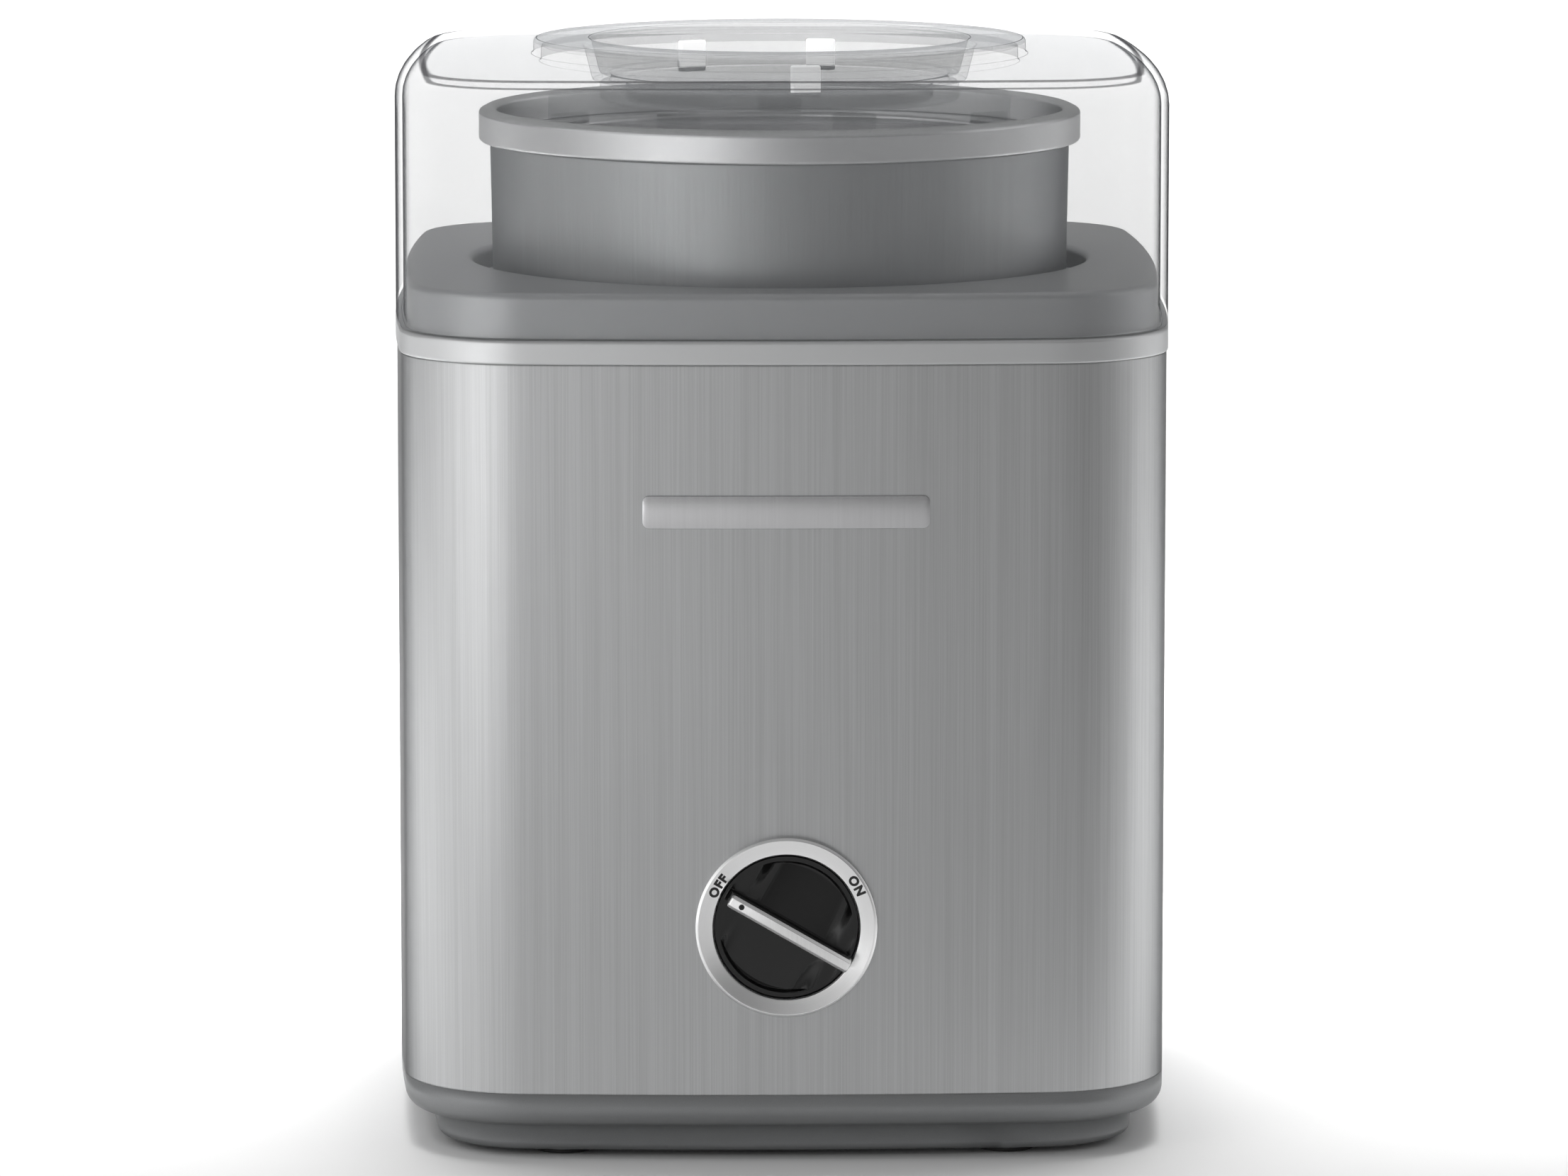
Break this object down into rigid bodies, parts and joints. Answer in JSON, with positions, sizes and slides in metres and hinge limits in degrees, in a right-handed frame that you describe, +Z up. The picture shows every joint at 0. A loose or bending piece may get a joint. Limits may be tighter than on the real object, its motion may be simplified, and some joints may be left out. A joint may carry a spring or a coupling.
{
  "type": "ice cream maker",
  "caption": "Countertop ice cream maker: brushed steel body, clear lid with filler opening, lift-out spinning freezer bowl, still paddle, front rotary switch.",
  "frame": {"origin": "centre of the whole object's footprint box, on the surface the feet stand on", "axes": "+Z up along the bowl's spin axis, front with the knob towards -Y, +X to the right seen from the front"},
  "size_m": [0.2052, 0.2126, 0.2858],
  "materials": {
    "brushed_wrap": "stainless sheet brushed vertically",
    "silver_trim": "silver-grey painted plastic, satin",
    "base_grey": "mid-grey moulded plastic, fine grain",
    "bowl_shell": "grey satin anodised",
    "bowl_rim": "silver-grey plastic, satin",
    "bowl_liner": "bare spun aluminium",
    "bowl_socket": "moulded plastic",
    "coolant": "sealed freezing liquid",
    "clear_cover": "clear moulded plastic, polished",
    "paddle_clear": "clear moulded plastic",
    "badge_bright": "blank plate, brushed",
    "bezel_chrome": "bright, finely turned face",
    "knob_black": "black moulded plastic",
    "pointer_metal": "brushed bright metal",
    "foot_rubber": "black rubber",
    "grommet_rubber": "black rubber",
    "well_plastic": "grey moulded plastic",
    "case_plastic": "dark moulded plastic",
    "gear_nylon": "natural nylon",
    "machined_steel": "turned steel",
    "pinion_brass": "cut brass",
    "sintered_bronze": "oiled sintered bronze",
    "lamination_steel": "stacked laminations",
    "rotor_metal": "laminations with cast ends",
    "copper_winding": "enamelled copper wire",
    "bobbin_nylon": "moulded nylon",
    "bracket_zinc": "zinc-plated sheet",
    "screw_zinc": "zinc-plated",
    "fan_plastic": "dark moulded plastic",
    "hub_plastic": "glass-filled plastic",
    "seal_rubber": "moulded rubber",
    "switch_plastic": "moulded switch body"
  },
  "bodies": {
    "housing": {"base_tray": "base_grey", "base_screws": "screw_zinc", "foot_front_left": "foot_rubber", "foot_front_right": "foot_rubber", "foot_rear_left": "foot_rubber", "foot_rear_right": "foot_rubber", "steel_sleeve": "brushed_wrap", "name_badge": "badge_bright", "top_housing": "silver_trim", "flange_screws": "screw_zinc", "bowl_well": "well_plastic", "gearbox_lower_case": "case_plastic", "gearbox_upper_case": "case_plastic", "idler_pin_1": "machined_steel", "idler_pin_2": "machined_steel", "lower_shaft_bush": "sintered_bronze", "upper_shaft_bush": "sintered_bronze", "shaft_seal": "seal_rubber", "gearbox_screws": "screw_zinc", "motor_stack": "lamination_steel", "coil_bobbin": "bobbin_nylon", "motor_coil": "copper_winding", "lower_motor_bracket": "bracket_zinc", "upper_motor_bracket": "bracket_zinc", "lower_motor_bush": "sintered_bronze", "upper_motor_bush": "sintered_bronze", "motor_screws": "screw_zinc", "switch_body": "switch_plastic", "switch_plate": "bracket_zinc", "switch_nut": "bracket_zinc", "knob_bezel": "bezel_chrome", "cord_grommet": "grommet_rubber"},
    "drive_output": {"drive_shaft": "machined_steel", "drive_hub": "hub_plastic", "output_gear": "gear_nylon"},
    "second_idler": {"idler_gear_2": "gear_nylon"},
    "first_idler": {"idler_gear_1": "gear_nylon"},
    "armature": {"motor_rotor": "rotor_metal", "rotor_shaft": "machined_steel", "motor_pinion": "pinion_brass", "cooling_fan": "fan_plastic"},
    "control_knob": {"knob": "knob_black", "knob_pointer_bar": "pointer_metal", "switch_spindle": "machined_steel"},
    "freezer_core": {"bowl_coolant": "coolant"},
    "freezer_bowl": {"bowl_outer_shell": "bowl_shell", "bowl_liner": "bowl_liner", "bowl_rim": "bowl_rim", "bowl_drive_socket": "bowl_socket"},
    "paddle": {"mixing_paddle": "paddle_clear"},
    "lid": {"lid_cover": "clear_cover"}
  },
  "joints": [
    {"name": "bowl_lift", "type": "slide", "parent": "housing", "child": "freezer_core", "axis": [0, 0, 1], "range_m": [0, 0.145]},
    {"name": "bowl_spin", "type": "hinge", "parent": "freezer_core", "child": "freezer_bowl", "pos_m": [0, 0.00315, 0.18], "axis": [0, 0, 1], "continuous": true},
    {"name": "paddle_lift", "type": "slide", "parent": "freezer_core", "child": "paddle", "axis": [0, 0, 1], "range_m": [0, 0.165]},
    {"name": "lid_lift", "type": "slide", "parent": "paddle", "child": "lid", "axis": [0, 0, 1], "range_m": [0, 0.09]},
    {"name": "drive_turn", "type": "hinge", "parent": "housing", "child": "drive_output", "pos_m": [0, 0.00315, 0.076], "axis": [0, 0, 1], "continuous": true},
    {"name": "second_idler_turn", "type": "hinge", "parent": "housing", "child": "second_idler", "pos_m": [-0.03637, 0.02415, 0.07], "axis": [0, 0, 1], "continuous": true},
    {"name": "first_idler_turn", "type": "hinge", "parent": "housing", "child": "first_idler", "pos_m": [-0.0195, 0.05338, 0.062], "axis": [0, 0, 1], "continuous": true},
    {"name": "motor_turn", "type": "hinge", "parent": "housing", "child": "armature", "pos_m": [0.0105, 0.05338, 0.033], "axis": [0, 0, 1], "continuous": true},
    {"name": "knob_turn", "type": "hinge", "parent": "housing", "child": "control_knob", "pos_m": [0, -0.09665, 0.0628], "axis": [0, 1, 0], "range_deg": [0, 120]}
  ],
  "couplings": [
    {"joint": "drive_turn", "follows": "bowl_spin", "ratio": 1},
    {"joint": "second_idler_turn", "follows": "bowl_spin", "ratio": -3},
    {"joint": "first_idler_turn", "follows": "bowl_spin", "ratio": 10.5},
    {"joint": "motor_turn", "follows": "bowl_spin", "ratio": -42}
  ]
}
